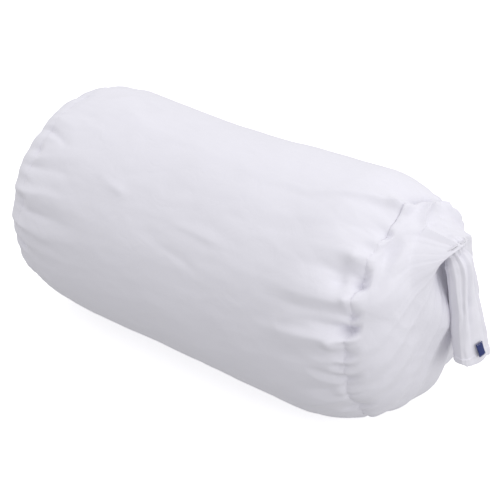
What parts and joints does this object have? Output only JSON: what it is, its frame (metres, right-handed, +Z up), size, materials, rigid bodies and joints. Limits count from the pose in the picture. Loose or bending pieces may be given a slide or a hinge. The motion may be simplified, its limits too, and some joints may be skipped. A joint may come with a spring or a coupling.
{
  "type": "bolster pillow",
  "caption": "Round stuffed bolster pillow in a loose cotton cover, drawn together at one end into a short hanging tail with a small side label.",
  "frame": {"origin": "centre of the flat patch the bolster lies on, half way between its two end seams", "axes": "+X along the bolster to the gathered end with the tail, +Y to its back, +Z up"},
  "size_m": [0.4978, 0.24, 0.233],
  "materials": {
    "cover_cloth": "matt white cotton, lightly creased",
    "liner_cloth": "matt unbleached cotton",
    "batting": "soft white batting",
    "fibre_fill": "loose white polyester fibre",
    "sewing_thread": "white polyester thread",
    "tie_cord": "white twisted cotton cord",
    "label_cloth": "dark blue woven tape"
  },
  "bodies": {
    "bolster": {"body_sleeve": "cover_cloth", "far_end_panel": "cover_cloth", "near_end_skirt": "cover_cloth", "near_seam_stitching": "sewing_thread", "far_seam_stitching": "sewing_thread", "sleeve_seam_stitching": "sewing_thread", "neck_tie": "tie_cord", "liner_sleeve": "liner_cloth", "liner_near_end": "liner_cloth", "liner_far_end": "liner_cloth", "liner_near_stitching": "sewing_thread", "liner_far_stitching": "sewing_thread", "liner_sleeve_stitching": "sewing_thread", "batting_wrap": "batting", "fibre_core": "fibre_fill"},
    "neck": {"neck_bundle": "cover_cloth"},
    "tail": {"tail": "cover_cloth", "tail_hem": "cover_cloth", "hem_stitching": "sewing_thread", "woven_label": "label_cloth", "label_stitching": "sewing_thread"}
  },
  "joints": [
    {"name": "tail_sway", "type": "hinge", "parent": "bolster", "child": "neck", "pos_m": [0.231, 0, 0.195], "axis": [1, 0, 0], "range_deg": [-30, 30]},
    {"name": "tail_lift", "type": "hinge", "parent": "neck", "child": "tail", "pos_m": [0.231, 0, 0.195], "axis": [0, -1, 0], "range_deg": [0, 80]}
  ]
}
